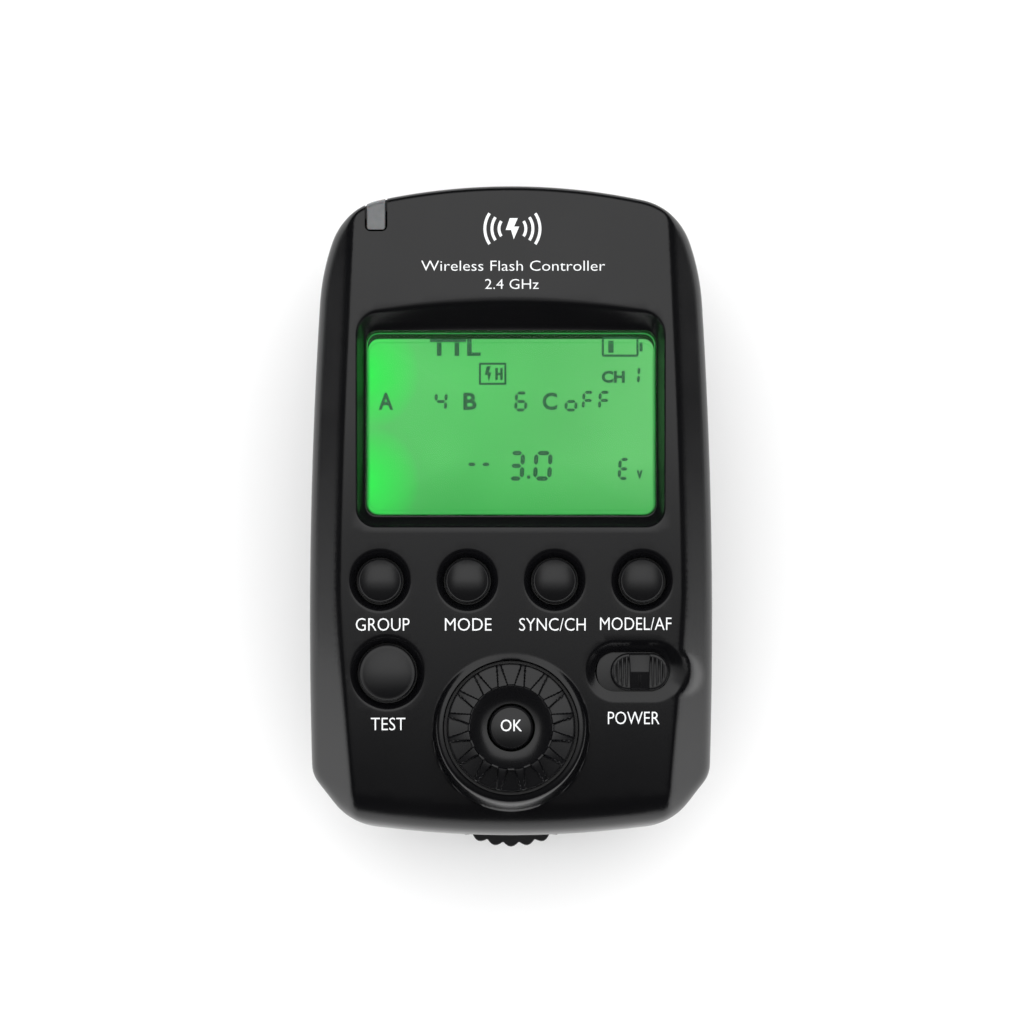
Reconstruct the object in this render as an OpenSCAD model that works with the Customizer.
// Wireless flash trigger that slides into a camera's accessory shoe.
// Frame: origin at the centre of the shoe foot's underside, +Z up through the case,
// +Y towards the lens, display facing +Z. Millimetres.

/* [Case] */
// Width of the case at its widest
case_w = 57; // [56.5:0.1:57.5]
// Wall thickness of both shells
wall = 1.8; // [1.6:0.1:1.8]
// Height of the rear shell's underside above the foot
rear_z = 12; // [12:0.1:12.2]
// Height of the joint between the two shells
split_z = 26; // [25.8:0.1:26]
// Highest point of the front face
face_z_max = 41; // [40.9:0.1:41.2]
// Radius of the front face's lengthwise arch
face_r = 320; // [310:5:340]

/* [Display] */
// Width of the display window
window_w = 41.2; // [40:0.1:41.2]
// Height of the display window
window_h = 26.3; // [25.5:0.1:26.3]
// Thickness of the display lens
lens_t = 1.2; // [1:0.1:1.2]

/* [Controls] */
// Diameter of the four small keys
key_d = 6.3; // [6:0.1:6.5]
// Distance between neighbouring small keys
key_pitch = 12.36; // [12.2:0.02:12.4]
// Diameter of the test key
test_d = 8.1; // [7.8:0.1:8.3]
// Diameter of the centre key
ok_d = 6.2; // [6:0.1:6.3]
// Travel of every key
key_travel = 0.5; // [0.3:0.1:0.5]
// Diameter of the selector dial
dial_d = 18.2; // [18:0.1:18.4]
// Number of finger ribs on the dial
dial_ribs = 16; // [12:1:20]
// Travel of the power slider
power_travel = 2.1; // [1.8:0.1:2.1]

/* [Shoe foot] */
// Width of the foot plate
foot_w = 18.6; // [18.4:0.1:18.6]
// Thickness of the foot plate
foot_t = 2; // [1.8:0.1:2]
// Diameter of the lock ring over its lobes
ring_d = 27.5; // [26.5:0.1:27.5]
// Number of grip lobes on the lock ring
ring_lobes = 36; // [30:1:40]
// How far the lock ring travels down its thread
ring_travel = 2; // [1.5:0.1:2]

/* [Batteries] */
// Diameter of one AA cell
cell_d = 14.3; // [14:0.1:14.3]
// Length of one AA cell over its nub
cell_len = 50.5; // [50:0.1:50.5]

/* [Hidden] */
$fn = 64;

far = 60;                    // half size of the large cutting blocks
fit = 0.15;                  // gap between a fixed piece and its opening
half_w = case_w / 2;

// Outline of the case in plan: corner points of the right half, each with its rounding radius.
outline_right = [
    [half_w - 5.7, -10.6, 8.8],
    [half_w - 0.25, -3.65, 4.4],
    [half_w + 0.55, 31, 748],
    [half_w - 1.7, 67.3, 32.5],
    [half_w - 4.9, 76.5, 9.2]
];
outline_foot = [0, -13.2, 146];
outline_head = [0, 81.3, 89];
outline_corners = concat(
    [outline_foot], outline_right, [outline_head],
    [for (i = [len(outline_right) - 1:-1:0]) let (c = outline_right[i]) [-c.x, c.y, c.z]]
);
head_y = 79.4;               // where the head end of the case lies on the centre line

// Front face
face_y = 55;                 // where the arched face is highest
facet_hi = [half_w - 4.2, 31];          // a point of the long crease, and the slope outside it
facet_hi_n = [1.3, 0.05, 1];
facet_lo = [half_w - 4.2, 15];
facet_lo_n = [1.1, -0.265, 1];
end_cut_y = -8.9;            // where the face starts to turn down at the foot end
end_cut_n = [0, -1, 0.9];

// Display
window_y = 45.95;
lens_top = 38.6;
lens_rim = 1;                // how far the lens reaches under its frame
frame_w = 44;
frame_h = 30;
strip = [16, 12.1, 13.2];    // contact strip: half width, first and last y from the window's centre

// Keys: x, y, diameter
keys = [
    [-1.5 * key_pitch, 23.6, key_d],
    [-0.5 * key_pitch, 23.6, key_d],
    [0.5 * key_pitch, 23.6, key_d],
    [1.5 * key_pitch, 23.6, key_d],
    [-17.5, 10.6, test_d]
];
key_proud = 0.85;            // how far a key's crown stands above the face
key_flange_drop = 2.6;       // from the face down to the key's flange
key_flange_t = 0.8;
switch_proud = 0.9;          // how far a plunger stands above its switch

// Dial
dial_y = 2.85;
dial_r = dial_d / 2;
dial_well_r = dial_r + 0.4;
dial_boss_r = 11;
dial_boss_z = 38.3;
dial_floor_z = 35;
dial_floor_t = 1.1;
dial_crown_z = 39.9;
hub_r = 4.72;
hub_hole_r = hub_r + 0.08;
hub_z = 33.2;
ok_top_z = 39.5;
ok_switch_h = 1.2;

// Power slider
power_x = 17.17;
power_y = 10.77;
power_slot = [10.5, 5.6];
power_knob = [power_slot.x - power_travel - 0.1, power_slot.y - 0.3];
power_pad = [16, 10];
power_pad_z = 38.15;
power_skirt = [12.3, 7.3];
power_pocket = [power_skirt.x + power_travel + 0.2, power_skirt.y + 0.3];

// Boards and batteries
board_z = 30.4;
board_t = 1.6;
board_top = board_z + board_t;
cell_x = 7.4;
cell_z = 21.15;
tray = [16.2, 16.4, 72.4, 29.3];        // half width, first y, last y, top
tray_in = [15, 17.4, 71.4, 28.5];
cell_y0 = tray_in[1] + 3.1;
tray_mid = tray_in[1] + tray_in[2];     // mirror for the reversed cell

// Battery door
door_w = 16.6;               // half width
door_y = 17;
door_t = 1.7;
tongue = 1;

// Screws: x, y
case_screw_at = [[21.8, -2], [-21.8, -2], [20.9, 66.8], [-20.9, 66.8]];
board_screw_at = [[key_pitch, 23.6], [-key_pitch, 23.6], [14.5, 69], [-14.5, 69]];
shoe_screw_at = [[11.2, 7.4], [-11.2, 7.4], [11.2, -5.9], [-11.2, -5.9]];

// Shoe
neck = [12.3, 13];
neck_top = 4.6;
column_r = 8.9;
shoe_floor = 14.4;
shoe_flange_t = 1.6;
shoe_flange = [27, 17.8, 1];          // width, length, shift along Y
window = [8.6, 10.6];
pin_y = 7.7;
contact_at = [[-2.1, -2.9], [2.1, -2.9], [-3.2, 1.5], [3.2, 1.5]];
contact_proud = 0.7;
washer_z = [4.8, 6.2];
ring_z = [6.25, 11.4];

sync_at = [-28.1, 6.2, 20];
sync_bore = [1.3, 11];       // radius and length
af_z = [16.5, 23.5];
status_x = [-20.6, -17.6];
status_y = 73.6;

// ---------------------------------------------------------------- shared functions

function unit(v) = v / norm(v);
function face_z(y) = face_z_max - face_r + sqrt(face_r * face_r - (y - face_y) * (y - face_y));

// Moves corner i of a counterclockwise convex outline inwards by d and shrinks its radius.
function inset_corner(c, i, d) =
    let (
        n = len(c),
        p = [c[i].x, c[i].y],
        before = [c[(i + n - 1) % n].x, c[(i + n - 1) % n].y],
        after = [c[(i + 1) % n].x, c[(i + 1) % n].y],
        e1 = unit(p - before),
        e2 = unit(after - p),
        n1 = [-e1.y, e1.x],
        n2 = [-e2.y, e2.x],
        q = p + d * (n1 + n2) / (1 + n1 * n2)
    )
    [q.x, q.y, max(c[i].z - d, 0.3)];

// Points of a convex outline whose corners are rounded, steps to a corner.
function rounded(c, steps) =
    let (n = len(c))
    [for (i = [0:n - 1])
        let (
            p = [c[i].x, c[i].y],
            a = unit([c[(i + n - 1) % n].x, c[(i + n - 1) % n].y] - p),
            b = unit([c[(i + 1) % n].x, c[(i + 1) % n].y] - p),
            half = acos(a * b) / 2,
            centre = p + unit(a + b) * c[i].z / sin(half),
            start = atan2(-b.x * sign(a.x * b.y - a.y * b.x), b.y * sign(a.x * b.y - a.y * b.x)),
            from = p + a * c[i].z / tan(half) - centre,
            a0 = atan2(from.y, from.x)
        )
        for (k = [0:steps])
            let (t = a0 + (180 - 2 * half) * k / steps)
            centre + c[i].z * [cos(t), sin(t)]
    ];

function case_outline(inset) =
    rounded([for (i = [0:len(outline_corners) - 1]) inset_corner(outline_corners, i, inset)], 7);

function slab_outline(size, r) =
    rounded([[-size.x / 2, -size.y / 2, r], [size.x / 2, -size.y / 2, r],
             [size.x / 2, size.y / 2, r], [-size.x / 2, size.y / 2, r]], 6);

// ---------------------------------------------------------------- shared shapes

// Everything below a plane through p with outward normal n.
module below(p, n) {
    translate(p)
        rotate([0, acos(n.z / norm(n)), atan2(n.y, n.x)])
            translate([-far, -far, -2 * far])
                cube(2 * far);
}

// A box from low corner to high corner.
module block(lo, hi) {
    translate(lo) cube(hi - lo);
}

// A flat slab with rounded corners, its underside at z.
module slab(size, r, z, h) {
    translate([0, 0, z]) linear_extrude(h) polygon(slab_outline(size, r));
}

module ring(r_in, r_out, z, h) {
    translate([0, 0, z]) difference() {
        cylinder(r = r_out, h = h);
        translate([0, 0, -1]) cylinder(r = r_in, h = h + 2);
    }
}

// The front shell's solid form, moved in by t from its outer skin.
module front_blank(t) {
    intersection() {
        translate([0, 0, split_z - t]) linear_extrude(20) polygon(case_outline(t));
        translate([-far, face_y, face_z_max - face_r])
            rotate([0, 90, 0]) cylinder(r = face_r - t, h = 2 * far, $fn = 256);
        facet(1, facet_hi, facet_hi_n, t);
        facet(-1, facet_hi, facet_hi_n, t);
        facet(1, facet_lo, facet_lo_n, t);
        facet(-1, facet_lo, facet_lo_n, t);
        below([0, end_cut_y, face_z(end_cut_y)] - t * unit(end_cut_n), end_cut_n);
    }
}

module facet(side, at, n, t) {
    normal = [side * n.x, n.y, n.z];
    below([side * at.x, at.y, face_z(at.y)] - t * unit(normal), normal);
}

// The rear shell's solid form: a tub with a wide chamfer round its underside.
module rear_blank(t) {
    hull() {
        translate([0, 0, rear_z + t]) linear_extrude(0.1) polygon(case_outline(3.4 + 0.7 * t));
        translate([0, 0, rear_z + 4]) linear_extrude(0.1) polygon(case_outline(0.3 + t));
    }
    translate([0, 0, rear_z + 4.05])
        linear_extrude(split_z - rear_z - 4.05 + t) polygon(case_outline(0.3 + t));
}

// A coil spring as a swept wire: radius r0 to r1 over height h.
module coil(r0, r1, h, turns, wire, sides = 5, steps = 12) {
    n = turns * steps;
    pts = [for (i = [0:n]) let (t = i / n, a = 360 * turns * t, r = r0 + (r1 - r0) * t)
        for (k = [0:sides - 1]) let (b = 360 * k / sides)
            [(r + wire * cos(b)) * cos(a), (r + wire * cos(b)) * sin(a),
             wire + (h - 2 * wire) * t + wire * sin(b)]];
    skin = [for (i = [0:n - 1]) for (k = [0:sides - 1])
        let (m = (k + 1) % sides, a = i * sides, b = a + sides)
        for (f = [[a + k, a + m, b + m], [a + k, b + m, b + k]]) f];
    ends = [for (k = [1:sides - 2]) for (f = [[0, k + 1, k], [n * sides, n * sides + k, n * sides + k + 1]]) f];
    polyhedron(pts, concat(skin, ends), convexity = 10);
}

// A domed cap: side from z0 to the edge, then a crown of the given rise.
module domed_cap(r, z0, top, crown) {
    bow = (r * r + crown * crown) / (2 * crown);
    span = asin(r / bow);
    translate([0, 0, top])
        rotate_extrude()
            polygon(concat(
                [[0, z0 - top], [r, z0 - top]],
                [for (k = [6:-1:0]) let (a = span * k / 6) [bow * sin(a), bow * (cos(a) - 1)]]
            ));
}

// ---------------------------------------------------------------- case

module key_well(k) {
    z = face_z(k.y);
    r = k.z / 2;
    translate([k.x, k.y, 0]) {
        translate([0, 0, z - 4]) cylinder(r = r + 0.2, h = 6);
        translate([0, 0, z - 0.95]) cylinder(r1 = r + 0.25, r2 = r + 2.4, h = 2.15);
    }
}

module display_opening() {
    translate([0, window_y, 0]) {
        slab([window_w, window_h], 1.7, lens_top - 1, 2);
        slab([window_w + 2 * lens_rim + 0.2, window_h + 2 * lens_rim + 0.2], 2.2,
             lens_top - lens_t - 1, lens_t + 1);
        hull() {
            slab([window_w + 0.2, window_h + 0.2], 1.8, lens_top + 0.35, 0.05);
            translate([0, 1.35, 0]) slab([window_w + 3.4, window_h + 6.2], 3.2, face_z_max + 0.6, 0.05);
        }
    }
}

module front_case() {
    color("#2a2a2d") difference() {
        union() {
            front_blank(0);
            translate([0, dial_y, 34]) cylinder(r = dial_boss_r, h = dial_boss_z - 34);
            translate([power_x + 0.9, power_y, 0]) slab(power_pad, power_pad.y / 2 - 0.01, 34, power_pad_z - 34);
        }
        difference() {
            front_blank(wall);
            for (s = case_screw_at) translate([s.x, s.y, split_z]) cylinder(r = 2.7, h = 20);
            for (s = board_screw_at) translate([s.x, s.y, board_top]) cylinder(r = 1.9, h = 20);
            translate([0, dial_y, dial_floor_z - dial_floor_t]) cylinder(r = dial_boss_r, h = 20);
            translate([0, window_y, 0]) slab([frame_w + 2.4, frame_h + 1], 1, lens_top - lens_t, 10);
            translate([power_x, power_y, 0]) slab(power_pocket + [1.6, 1.4], 1, 36.35, 10);
        }
        for (k = keys) key_well(k);
        display_opening();
        translate([0, dial_y, dial_floor_z]) cylinder(r = dial_well_r, h = 20);
        translate([0, dial_y, 30]) cylinder(r = hub_hole_r, h = 10);
        translate([power_x, power_y, 0]) {
            slab(power_slot, power_slot.y / 2 - 0.01, 34, 10);
            slab(power_pocket, 0.8, 34, 3.05);
        }
        hull() {
            translate([power_x, power_y, 0]) slab(power_slot, power_slot.y / 2 - 0.01, power_pad_z - 0.9, 0.05);
            translate([power_x + 0.9, power_y, 0])
                slab(power_pad - [0.6, 0.6], power_pad.y / 2 - 0.31, power_pad_z + 0.1, 0.05);
        }
        for (s = case_screw_at) translate([s.x, s.y, split_z - 1]) cylinder(r = 1.25, h = 6.5);
        for (s = board_screw_at) translate([s.x, s.y, board_top - 1]) cylinder(r = 0.8, h = 4.2);
        block([status_x[0] - fit, status_y - fit, 36.2], [status_x[1] + fit, far + 30, 50]);
    }
}

module rear_case() {
    color("#242427") difference() {
        union() {
            difference() {
                rear_blank(0);
                translate([0, 0, 0.02]) rear_blank(wall);
            }
            intersection() {
                rear_blank(0);
                union() {
                    block([-15.5, -12, rear_z], [15.5, 13, shoe_floor]);
                    for (s = [-1, 1]) scale_side(s) block([tray[0] - 0.1, tray[1], rear_z], [19.2, 80, 15.2]);
                    block([-19.2, tray[2] - 0.1, rear_z], [19.2, 80, 15.2]);
                    for (s = case_screw_at) translate([s.x, s.y, rear_z]) cylinder(r = 3.4, h = split_z - rear_z);
                }
            }
            block([-tray[0], tray[1], rear_z + 0.1], [tray[0], tray[2], tray[3]]);
            intersection() {
                ring_wall(wall + fit, wall + 0.85, split_z - 2, 3.2);
                union() {
                    block([-far, -far, 0], [far, 60, 50]);
                    block([-16, 0, 0], [60, 90, 50]);
                }
            }
        }
        block([-tray_in[0], tray_in[1], 0], [tray_in[0], tray_in[2], tray_in[3]]);
        block([-door_w - fit, door_y - fit, 0], [door_w + fit, 90, rear_z + door_t - 0.9]);
        block([-door_w - tongue - fit, door_y - fit, rear_z + door_t - 0.95],
              [door_w + tongue + fit, 90, rear_z + door_t + fit]);
        translate([0, 0, rear_z - 1]) cylinder(r = column_r + 0.15, h = 10);
        for (s = shoe_screw_at) translate([s.x, s.y, shoe_floor - 1.9]) cylinder(r = 0.95, h = 3);
        for (s = case_screw_at) translate([s.x, s.y, 0]) {
            cylinder(r = 2.5, h = 22.4);
            cylinder(r = 1.3, h = split_z + 5);
        }
        translate([sync_at.x - 1, sync_at.y, sync_at.z]) rotate([0, 90, 0]) cylinder(r = 3.0, h = 4);
        block([-8.15, 70 + 5, af_z[0] - fit], [8.15, 90, af_z[1] + fit]);
        // slots that the battery contacts' tails pass through
        for (s = [-1, 1])
            block([s * cell_x - 1.3, tray[1] - 1, cell_z - 0.8], [s * cell_x + 1.3, tray_in[1] + 1, cell_z + 0.8]);
    }
}

module scale_side(s) {
    if (s > 0) children();
    else mirror([1, 0, 0]) children();
}

// A thin wall that follows the case's outline.
module ring_wall(outer, inner, z, h) {
    difference() {
        translate([0, 0, z]) linear_extrude(h) polygon(case_outline(outer));
        translate([0, 0, z - 1]) linear_extrude(h + 2) polygon(case_outline(inner));
    }
}

module battery_door() {
    color("#242427") {
        intersection() {
            rear_blank(0);
            union() {
                block([-door_w, door_y, rear_z - 1], [door_w, 90, rear_z + door_t]);
                block([-door_w - tongue, door_y, rear_z + door_t - 0.8], [door_w + tongue, 90, rear_z + door_t]);
            }
        }
    }
}

module display_lens() {
    color([0.75, 0.85, 0.78, 0.35])
        translate([0, window_y, 0])
            slab([window_w + 2 * lens_rim, window_h + 2 * lens_rim], 2.1, lens_top - lens_t, lens_t);
}

module status_lens() {
    color([0.75, 0.76, 0.8, 0.6]) intersection() {
        front_blank(0.02);
        union() {
            block([status_x[0], status_y, 36.4], [status_x[1], 90, 45]);
            block([status_x[0] + 0.5, 70.6, 36.4], [status_x[1] - 0.5, 75, 37.4]);
            block([status_x[0] + 0.5, 70.6, 33.2], [status_x[1] - 0.5, 72.2, 37.4]);
        }
    }
}

module af_window() {
    color([0.55, 0.02, 0.03, 0.8]) {
        intersection() {
            block([-8, 70, af_z[0]], [8, 90, af_z[1]]);
            translate([0, 0, 10]) linear_extrude(20) polygon(case_outline(0.5));
            block([-10, 76.3, 10], [10, 90, 30]);
        }
        block([-9.1, 75.5, af_z[0] - 0.9], [9.1, 76.3, split_z - 2.1]);
    }
}

// ---------------------------------------------------------------- keys and their switches

function key_top(k) = face_z(k.y) + key_proud;
function flange_top(k) = face_z(k.y) - key_flange_drop;
function plunger_top(k) = flange_top(k) - key_flange_t;

module key_cap(k) {
    color("#1c1c1f") translate([k.x, k.y, 0]) {
        domed_cap(k.z / 2, flange_top(k) - 0.1, key_top(k), 0.75);
        translate([0, 0, plunger_top(k)]) cylinder(r = k.z / 2 + 0.6, h = key_flange_t);
    }
}

module plunger(at, top, r = 1.7) {
    color("#c9a227") translate([at.x, at.y, top - switch_proud - 0.6])
        cylinder(r = r, h = switch_proud + 0.6);
}

module tact_body(at, top, w, r) {
    translate([at.x, at.y, 0]) difference() {
        slab([w, w], 0.4, board_top, top - switch_proud - board_top);
        translate([0, 0, top - switch_proud - 1.15]) cylinder(r = r + 0.1, h = 3);
    }
}

ok_plunger_top = board_top + ok_switch_h + switch_proud;

module group_button() { key_cap(keys[0]); }
module mode_button() { key_cap(keys[1]); }
module sync_button() { key_cap(keys[2]); }
module model_button() { key_cap(keys[3]); }
module test_button() { key_cap(keys[4]); }
module group_plunger() { plunger(keys[0], plunger_top(keys[0])); }
module mode_plunger() { plunger(keys[1], plunger_top(keys[1])); }
module sync_plunger() { plunger(keys[2], plunger_top(keys[2])); }
module model_plunger() { plunger(keys[3], plunger_top(keys[3])); }
module test_plunger() { plunger(keys[4], plunger_top(keys[4])); }

module ok_button() {
    color("#1c1c1f") translate([0, dial_y, 0]) {
        domed_cap(ok_d / 2, 36.5, ok_top_z, 0.7);
        translate([0, 0, 36]) cylinder(r = ok_d / 2 + 0.2, h = 0.6);
        translate([0, 0, ok_plunger_top]) cylinder(r = 2.2, h = 36.1 - ok_plunger_top);
    }
}

module ok_plunger() {
    color("#c9a227") translate([0, dial_y, ok_plunger_top - switch_proud - 0.6])
        cylinder(r = 1.2, h = switch_proud + 0.6);
}

module tact_switches() {
    color("#3a3a3d") {
        for (k = keys) tact_body(k, plunger_top(k), 6, 1.7);
        tact_body([0, dial_y], ok_plunger_top, 4.8, 1.2);
    }
}

// ---------------------------------------------------------------- dial

module select_dial() {
    color("#1e1e21") translate([0, dial_y, 0]) {
        rotate_extrude() polygon([
            [3.25, 37.2], [3.25, 38.75], [4.2, 38.8], [5.2, 39.2], [5.8, 39.75],
            [6.1, dial_crown_z], [7, 39.7], [8, 39.3], [8.8, 38.7], [dial_r, 38.1],
            [dial_r, 35.3], [7.9, 35.3], [7.9, 36.6], [hub_r, 36.6],
            [hub_r, hub_z], [3.5, hub_z], [3.5, 37.2]
        ]);
        for (i = [0:dial_ribs - 1])
            rotate(360 * (i + 0.5) / dial_ribs)
                translate([6.15, 0, 0]) rotate([90, 0, 0]) translate([0, 0, -0.35])
                    linear_extrude(0.7)
                        polygon([[0, 39], [0, dial_crown_z + 0.3], [1, dial_crown_z + 0.25],
                                 [2, dial_crown_z - 0.2], [2.7, 38.95], [2.7, 38.2], [1, 38.2]]);
    }
}

module dial_retainer() {
    color("silver") translate([0, dial_y, 0]) ring(hub_r, 6, 33.3, 0.5);
}

module encoder_rotor() {
    color("#b87333") translate([0, dial_y, 0]) ring(3.7, 4.7, 32.9, 0.3);
}

module encoder_base() {
    color("#20303a") translate([0, dial_y, 0]) ring(3.7, 7, board_top, 0.8);
}

// ---------------------------------------------------------------- power slider

knob_shift = power_travel / 2;

module power_slider() {
    color("#1c1c1f") translate([power_x + knob_shift, power_y, 0]) {
        slab(power_skirt, 0.6, 36.0, 0.85);
        slab(power_knob, power_knob.y / 2 - 0.01, 36.8, 1.3);
        block([-1.4, -power_knob.y / 2, 38], [1.4, power_knob.y / 2, 38.9]);
        for (x = [-3.1, -2.3, 2.3, 3.1])
            block([x - 0.18, -1.9 + abs(x) * 0.2, 38], [x + 0.18, 1.9 - abs(x) * 0.2, 38.35]);
    }
}

module power_lever() {
    color("#d8d8da") translate([power_x + knob_shift, power_y, 0])
        block([-0.7, -0.7, 33], [0.7, 0.7, 36.0]);
}

module power_switch() {
    color("#9a9aa0") translate([power_x, power_y, 0]) difference() {
        slab([8.6, 4.2], 0.3, board_top, 2.6);
        block([-2.2, -0.9, 32.8], [2.2, 0.9, 36]);
    }
}

// ---------------------------------------------------------------- display

module lcd_glass() {
    color("#7fbf86") translate([0, window_y, 0]) slab([42.2, 27.4], 0.3, 35.2, 2);
}

module light_guide() {
    color("#d8f5dc") translate([0.6, window_y - 1, 0]) slab([40.6, 25], 0.3, 32.4, 2.7);
}

module lcd_frame() {
    color("white") translate([0, window_y, 0]) difference() {
        slab([frame_w, frame_h], 0.6, board_top, 5.3);
        slab([42.4, 27.6], 0.3, 35.15, 5);
        translate([-0.2, -1, 0]) slab([42.4, 25.2], 0.3, 32.35, 5);
        block([-strip[0] - 0.1, strip[1] - 0.1, board_top - 1], [strip[0] + 0.1, strip[2] + 0.1, 36]);
    }
}

module backlight_leds() {
    color("#e8ffe8") for (y = [window_y - 7.3, window_y + 6.3])
        block([-21.2, y - 1.5, 32.6], [-19.9, y + 1.5, 34]);
}

module zebra_strip() {
    color("#d55f8a") translate([0, window_y, 0])
        block([-strip[0], strip[1], board_top], [strip[0], strip[2], 35.2]);
}

// ---------------------------------------------------------------- boards

module main_board() {
    color("#1d5c38") difference() {
        translate([0, 0, board_z]) linear_extrude(board_t)
            polygon(rounded([[-21.5, -5, 1], [21.5, -5, 1], [21.5, 72.6, 2], [-21.5, 72.6, 2]], 4));
        for (s = case_screw_at) translate([s.x, s.y, board_z - 1]) cylinder(r = 3, h = 4);
        for (s = board_screw_at) translate([s.x, s.y, board_z - 1]) cylinder(r = 1.2, h = 4);
    }
}

module control_chips() {
    color("#151517") {
        block([-11.5, 0, board_z - 1.4], [-1.5, 10, board_z]);
        block([4, 5, board_z - 1.2], [9.5, 10.5, board_z]);
        block([12, 6.5, board_z - 1.5], [15.2, 9.2, board_z]);
        translate([15.5, 0.5, board_z - 5.4]) cylinder(r = 2.5, h = 5.4);
        translate([-16.5, 11.5, board_z - 4.4]) cylinder(r = 2, h = 4.4);
    }
}

module radio_module() {
    color("#1f3f7a") block([-9, 63.2, board_top], [9, 72, board_top + 1]);
}

module radio_shield() {
    color("silver") difference() {
        block([-7.5, 64, board_top + 1], [3.5, 71, board_top + 3]);
        block([-7.2, 64.3, board_top], [3.2, 70.7, board_top + 2.7]);
    }
}

module antenna() {
    color("#b08d3c") {
        block([5, 64.4, board_top + 1], [5.8, 65.2, board_top + 4.6]);
        block([5, 64.4, board_top + 3.9], [8, 65.2, board_top + 4.7]);
        block([7.3, 64.4, board_top + 3.9], [8.1, 71.2, board_top + 4.7]);
    }
}

module status_led() {
    color("#ffd9d0") block([-20, 70.7, board_top], [-18.4, 72.1, board_top + 1]);
}

module af_led() {
    color([0.8, 0.1, 0.1, 0.9]) translate([0, 72.6, 20]) rotate([-90, 0, 0]) {
        cylinder(r = 2.9, h = 0.8);
        translate([0, 0, 0.7]) cylinder(r = 2.5, h = 1.2);
        translate([0, 0, 1.8]) cylinder(r1 = 2.5, r2 = 1.3, h = 0.9);
    }
}

module sync_socket() {
    color("#18181a") translate(sync_at) rotate([0, 90, 0]) difference() {
        union() {
            cylinder(r = 2.85, h = 2.6);
            translate([0, 0, 2.6]) linear_extrude(10) polygon(slab_outline([6, 6], 0.5));
        }
        translate([0, 0, -0.01]) cylinder(r = sync_bore[0], h = sync_bore[1] + 0.01);
    }
}

// ---------------------------------------------------------------- batteries

module cell(body) {
    translate([0, 0, 0]) rotate([-90, 0, 0]) {
        color(body) cylinder(r = cell_d / 2, h = cell_len - 1);
        color("silver") translate([0, 0, cell_len - 1.1]) cylinder(r = 2.75, h = 1.1);
    }
}

module battery_left() {
    translate([-cell_x, cell_y0, cell_z]) cell("#3f6f8f");
}

module battery_right() {
    translate([cell_x, tray_mid - cell_y0, cell_z]) mirror([0, 1, 0]) cell("#3f6f8f");
}

module spring_end() {
    rotate([-90, 0, 0]) {
        translate([0, 0, 0.35]) coil(4.6, 2.2, 2.7, 3, 0.35);
        translate([-5, -5, 0]) cube([10, 10, 0.4]);
    }
}

module battery_springs() {
    color("#d0d0c8") {
        translate([-cell_x, tray_in[1], cell_z]) spring_end();
        translate([cell_x, tray_in[2], cell_z]) mirror([0, 1, 0]) spring_end();
        block([-cell_x - 1, tray[1] - 0.9, cell_z - 0.5], [-cell_x + 1, tray_in[1] + 0.1, cell_z + 0.5]);
    }
}

module battery_plates() {
    color("#d8c070") {
        block([-cell_x - 4, tray_in[2] - 0.4, cell_z - 5], [-cell_x + 4, tray_in[2], cell_z + 5]);
        block([cell_x - 4, tray_in[1], cell_z - 5], [cell_x + 4, tray_in[1] + 0.4, cell_z + 5]);
        block([cell_x - 1, tray[1] - 0.9, cell_z - 0.5], [cell_x + 1, tray_in[1] + 0.1, cell_z + 0.5]);
    }
}

module battery_wires() {
    color("#b02020") for (s = [-1, 1])
        translate([s * cell_x, tray[1] - 1.5, cell_z - 0.5]) cylinder(r = 0.55, h = board_z - cell_z + 0.5);
}

// ---------------------------------------------------------------- shoe foot

module shoe_foot() {
    color("#b9bbbf") difference() {
        union() {
            translate([0, 0, 0]) linear_extrude(foot_t) polygon([
                [-foot_w / 2, -9.1], [foot_w / 2, -9.1], [foot_w / 2, 7.4], [foot_w / 2 - 1.7, 9.1],
                [-foot_w / 2 + 1.7, 9.1], [-foot_w / 2, 7.4]]);
            slab(neck, 1.2, foot_t - 0.1, neck_top - foot_t + 0.2);
            translate([0, 0, neck_top]) cylinder(r = column_r, h = shoe_floor - neck_top);
            translate([0, shoe_flange[2], 0])
                slab([shoe_flange[0], shoe_flange[1]], 2, shoe_floor, shoe_flange_t);
        }
        slab(window, 0.8, -1, 7);
        translate([0, 0, 5.2]) cylinder(r = 6.5, h = 20);
        translate([0, pin_y, -1]) cylinder(r = 0.9, h = 4);
        block([-2.4, neck.y / 2, neck_top - 1], [2.4, column_r + 1, washer_z[1] + 2.8]);
        for (s = shoe_screw_at) translate([s.x, s.y, shoe_floor - 1]) cylinder(r = 1.1, h = 4);
    }
}

module contact_block() {
    color("#161618") difference() {
        union() {
            slab(window - [0.1, 0.1], 0.75, 0.1, 5.2);
            translate([0, 0, 5.2]) cylinder(r = 6.4, h = 2);
        }
        translate([0, 0, -1]) cylinder(r = 1.6, h = 20);
        for (c = contact_at) translate([c.x, c.y, -1]) cylinder(r = 0.75, h = 20);
    }
}

module contact(r, head) {
    translate([0, 0, -contact_proud]) cylinder(r = r, h = 8.2 + contact_proud - 0.2);
    translate([0, 0, 7.25]) cylinder(r = head, h = 0.75);
}

module centre_contact() {
    color("#d9b45a") contact(1.5, 1.95);
}

module data_contacts() {
    color("#d9b45a") for (c = contact_at) translate([c.x, c.y, 0]) contact(0.65, 0.95);
}

module contact_springs() {
    color("silver") {
        translate([0, 0, 8.05]) coil(1.4, 1.4, 2.9, 4, 0.2);
        for (c = contact_at) translate([c.x, c.y, 8.05]) coil(0.65, 0.65, 2.9, 4, 0.15, 4, 8);
    }
}

module contact_board() {
    color("#1d5c38") translate([0, 0, 11]) cylinder(r = 6.35, h = 1);
}

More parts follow.
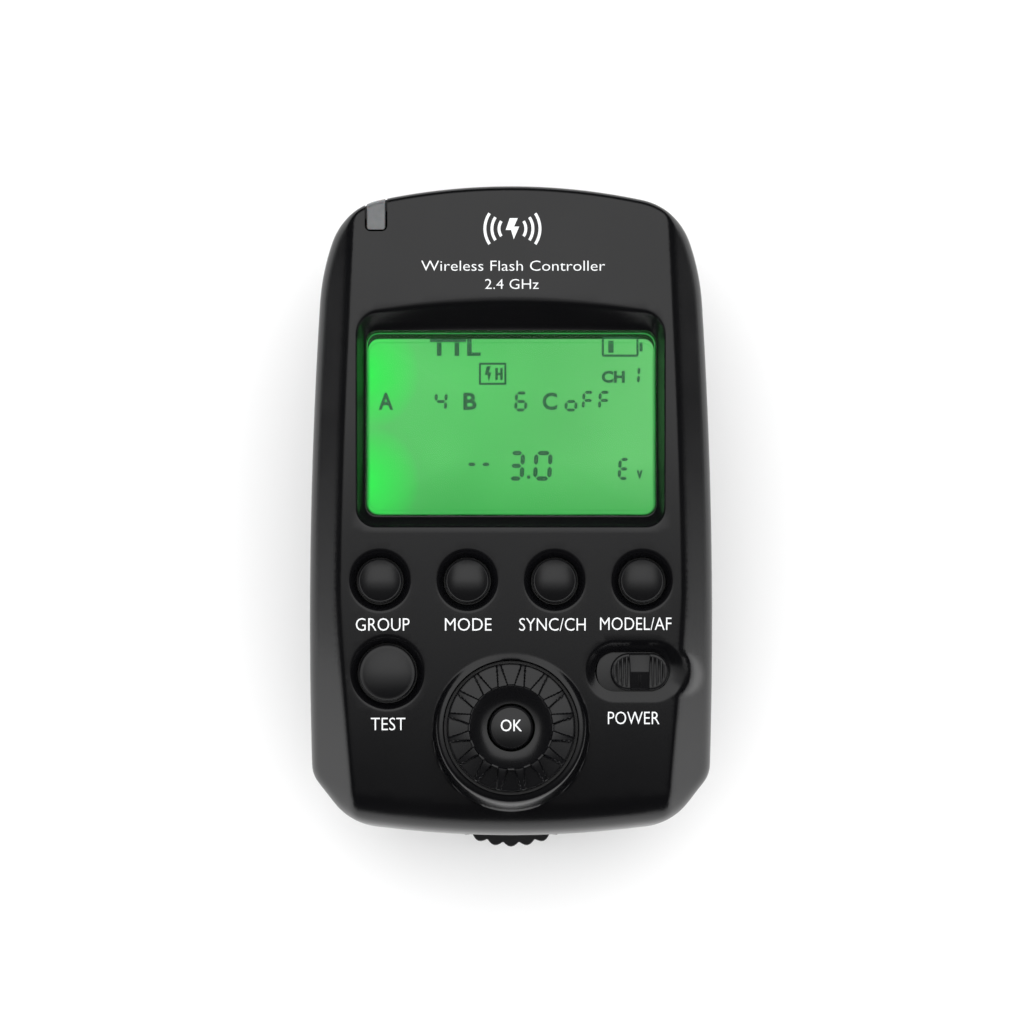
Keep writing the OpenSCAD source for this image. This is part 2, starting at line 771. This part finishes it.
module ribbon_cable() {
    color("#c8c8cc") translate([-3.5, 0, 0]) rotate([90, 0, 90]) linear_extrude(7)
        polygon([[-4.5, 12], [-4, 12], [-4, 20], [13, 27.2], [13, board_z], [12.5, board_z],
                 [12.5, 27.5], [-4.5, 20.3]]);
}

function lobe_outline(r, depth, lobes, steps) =
    [for (i = [0:lobes * steps - 1])
        let (a = 360 * i / (lobes * steps))
        (r - depth * (1 - abs(cos(lobes * a / 2)))) * [sin(a), -cos(a)]];

module lock_ring() {
    color("#17171a") difference() {
        translate([0, 0, ring_z[0]]) linear_extrude(ring_z[1] - ring_z[0])
            polygon(lobe_outline(ring_d / 2, 0.65, ring_lobes, 6));
        translate([0, 0, 0]) cylinder(r = column_r + 0.07, h = 30);
    }
}

module lock_washer() {
    color("#c4c6ca") {
        ring(column_r + 0.3, 12.4, washer_z[0], washer_z[1] - washer_z[0]);
        block([-2.1, neck.y / 2 + 0.3, washer_z[0]], [2.1, column_r + 1, washer_z[1]]);
    }
}

module lock_pin() {
    color("#e0e0e4") translate([0, pin_y, 0.3]) cylinder(r = 0.75, h = washer_z[0] - 0.3);
}

// ---------------------------------------------------------------- screws

module screw(head_r, head_h, r, length) {
    difference() {
        cylinder(r = head_r, h = head_h);
        for (a = [0, 90]) rotate(a) translate([-head_r * 0.55, -0.15 * head_r, -1])
            cube([head_r * 1.1, 0.3 * head_r, 1 + head_h * 0.5]);
    }
    translate([0, 0, head_h - 0.01]) cylinder(r = r, h = length);
}

module case_screws() {
    color("#303033") for (s = case_screw_at) translate([s.x, s.y, 20.8]) screw(2.1, 1.6, 1.2, 8.6);
}

module board_screws() {
    color("#c0c0c4") for (s = board_screw_at) translate([s.x, s.y, board_z - 0.85]) screw(1.6, 0.85, 0.75, 4.4);
}

module shoe_screws() {
    color("#c0c0c4") for (s = shoe_screw_at)
        translate([s.x, s.y, shoe_floor + shoe_flange_t + 1.1]) mirror([0, 0, 1]) screw(1.8, 1.1, 0.9, 3.2);
}

// ---------------------------------------------------------------- nodes

front_case();
rear_case();
battery_door();
display_lens();
status_lens();
af_window();
group_button();
mode_button();
sync_button();
model_button();
test_button();
ok_button();
group_plunger();
mode_plunger();
sync_plunger();
model_plunger();
test_plunger();
ok_plunger();
tact_switches();
select_dial();
dial_retainer();
encoder_rotor();
encoder_base();
power_slider();
power_lever();
power_switch();
lcd_glass();
lcd_frame();
light_guide();
backlight_leds();
zebra_strip();
main_board();
control_chips();
radio_module();
radio_shield();
antenna();
status_led();
af_led();
sync_socket();
battery_left();
battery_right();
battery_springs();
battery_plates();
battery_wires();
shoe_foot();
contact_block();
centre_contact();
data_contacts();
contact_springs();
contact_board();
ribbon_cable();
lock_ring();
lock_washer();
lock_pin();
case_screws();
board_screws();
shoe_screws();
